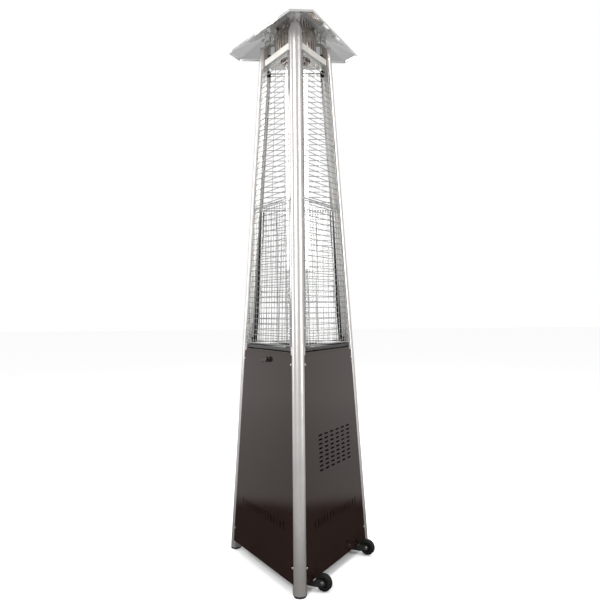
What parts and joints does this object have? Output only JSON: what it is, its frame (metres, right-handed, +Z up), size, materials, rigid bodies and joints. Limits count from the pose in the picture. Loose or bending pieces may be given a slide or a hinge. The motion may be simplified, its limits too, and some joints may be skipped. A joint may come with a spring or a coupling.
{
  "type": "patio heater",
  "caption": "Three-sided tapering gas patio heater: leaning posts, bronze cylinder base with a drop-down door, wire guards round a glass flame tube, reflector hood and transport wheels.",
  "frame": {"origin": "on the tower's vertical axis at floor level, midway between the three posts' feet", "axes": "+Z up; the front post points to -Y, the side with the control faces -X and slightly -Y, the side with the wheels faces +X and slightly -Y, the door faces +Y"},
  "size_m": [0.6165, 0.5467, 2.2035],
  "materials": {
    "arm_steel": "black paint",
    "bracket_aluminium": "mill-finish aluminium",
    "burner_brass": "plain turned brass",
    "burner_steel": "heat-tinted stainless steel",
    "ceramic_white": "glazed ceramic insulator",
    "door_bronze": "glossy dark bronze powder coat, slight orange peel",
    "fastener_steel": "zinc-plated steel",
    "foot_plastic": "black moulded end plug",
    "guard_wire": "bright chromed steel wire and strip",
    "handle_steel": "bright bent bar",
    "hood_aluminium": "polished aluminium, faintly wavy, soft reflections",
    "knob_plastic": "black phenolic, low sheen",
    "panel_bronze": "glossy dark bronze powder coat, slight orange peel",
    "pipe_aluminium": "soft drawn aluminium tube",
    "plate_steel": "dull galvanised and heat-tinted steel sheet",
    "post_aluminium": "satin anodised aluminium extrusion, fine draw lines along its length",
    "seal_silicone": "red high-temperature silicone",
    "strip_rubber": "black extruded rubber",
    "tray_steel": "black powder coat",
    "tube_glass": "clear borosilicate glass",
    "valve_alloy": "die-cast zinc alloy",
    "wheel_hub": "black moulded hub",
    "wheel_tyre": "black solid rubber"
  },
  "bodies": {
    "frame": {"axle_bolts": "fastener_steel", "base_tray": "tray_steel", "burner_cup": "burner_steel", "burner_deck": "tray_steel", "burner_head": "burner_steel", "control_bezel": "knob_plastic", "control_panel": "panel_bronze", "cylinder_ring": "tray_steel", "door_hinge_pins": "fastener_steel", "edge_strips": "strip_rubber", "flame_sensor": "burner_steel", "foot_front": "foot_plastic", "foot_left": "foot_plastic", "foot_right": "foot_plastic", "frame_screws": "fastener_steel", "front_wheel_bracket": "arm_steel", "gas_inlet_fitting": "burner_brass", "gas_jet_holder": "burner_brass", "gas_pipe": "pipe_aluminium", "gas_valve": "valve_alloy", "glass_tube": "tube_glass", "guard_lower_left": "guard_wire", "guard_lower_rear": "guard_wire", "guard_lower_right": "guard_wire", "guard_screws": "fastener_steel", "guard_upper_left": "guard_wire", "guard_upper_rear": "guard_wire", "guard_upper_right": "guard_wire", "hood": "hood_aluminium", "hood_bracket_front": "bracket_aluminium", "hood_bracket_left": "bracket_aluminium", "hood_bracket_right": "bracket_aluminium", "hood_screws": "fastener_steel", "igniter_electrode": "ceramic_white", "outlet_screen": "burner_steel", "panel_screws": "fastener_steel", "pilot_burner": "burner_brass", "plate_screws": "fastener_steel", "post_front": "post_aluminium", "post_left": "post_aluminium", "post_right": "post_aluminium", "rear_wheel_bracket": "arm_steel", "tilt_switch": "knob_plastic", "top_plate": "plate_steel", "tray_bolts": "fastener_steel", "tube_collar": "burner_steel", "tube_seal_lower": "seal_silicone", "tube_seal_upper": "seal_silicone", "valve_bracket": "tray_steel", "vent_panel": "panel_bronze", "venturi_tube": "burner_steel"},
    "door": {"rear_door": "door_bronze", "door_handle": "handle_steel", "handle_screws": "fastener_steel"},
    "control_stem": {"valve_stem": "burner_brass"},
    "control_knob": {"control_knob": "knob_plastic"},
    "front_wheel": {"front_wheel_tyre": "wheel_tyre", "front_wheel_hub": "wheel_hub"},
    "rear_wheel": {"rear_wheel_tyre": "wheel_tyre", "rear_wheel_hub": "wheel_hub"}
  },
  "joints": [
    {"name": "door_swing", "type": "hinge", "parent": "frame", "child": "door", "pos_m": [0, 0.18669, 0.04], "axis": [-1, 0, 0], "range_deg": [0, 85]},
    {"name": "knob_turn", "type": "hinge", "parent": "frame", "child": "control_stem", "pos_m": [-0.10184, -0.07612, 0.839], "axis": [-0.8653, -0.4996, 0.0402], "range_deg": [-90, 0]},
    {"name": "knob_push", "type": "slide", "parent": "control_stem", "child": "control_knob", "axis": [0.8653, 0.4996, -0.0402], "range_m": [0, 0.004], "stiffness_N_per_m": 600, "springref_m": -0.002},
    {"name": "front_wheel_spin", "type": "hinge", "parent": "frame", "child": "front_wheel", "pos_m": [0.08856, -0.27861, 0.0335], "axis": [0.5, 0.866, 0], "continuous": true},
    {"name": "rear_wheel_spin", "type": "hinge", "parent": "frame", "child": "rear_wheel", "pos_m": [0.28556, 0.06261, 0.0335], "axis": [0.5, 0.866, 0], "continuous": true}
  ]
}
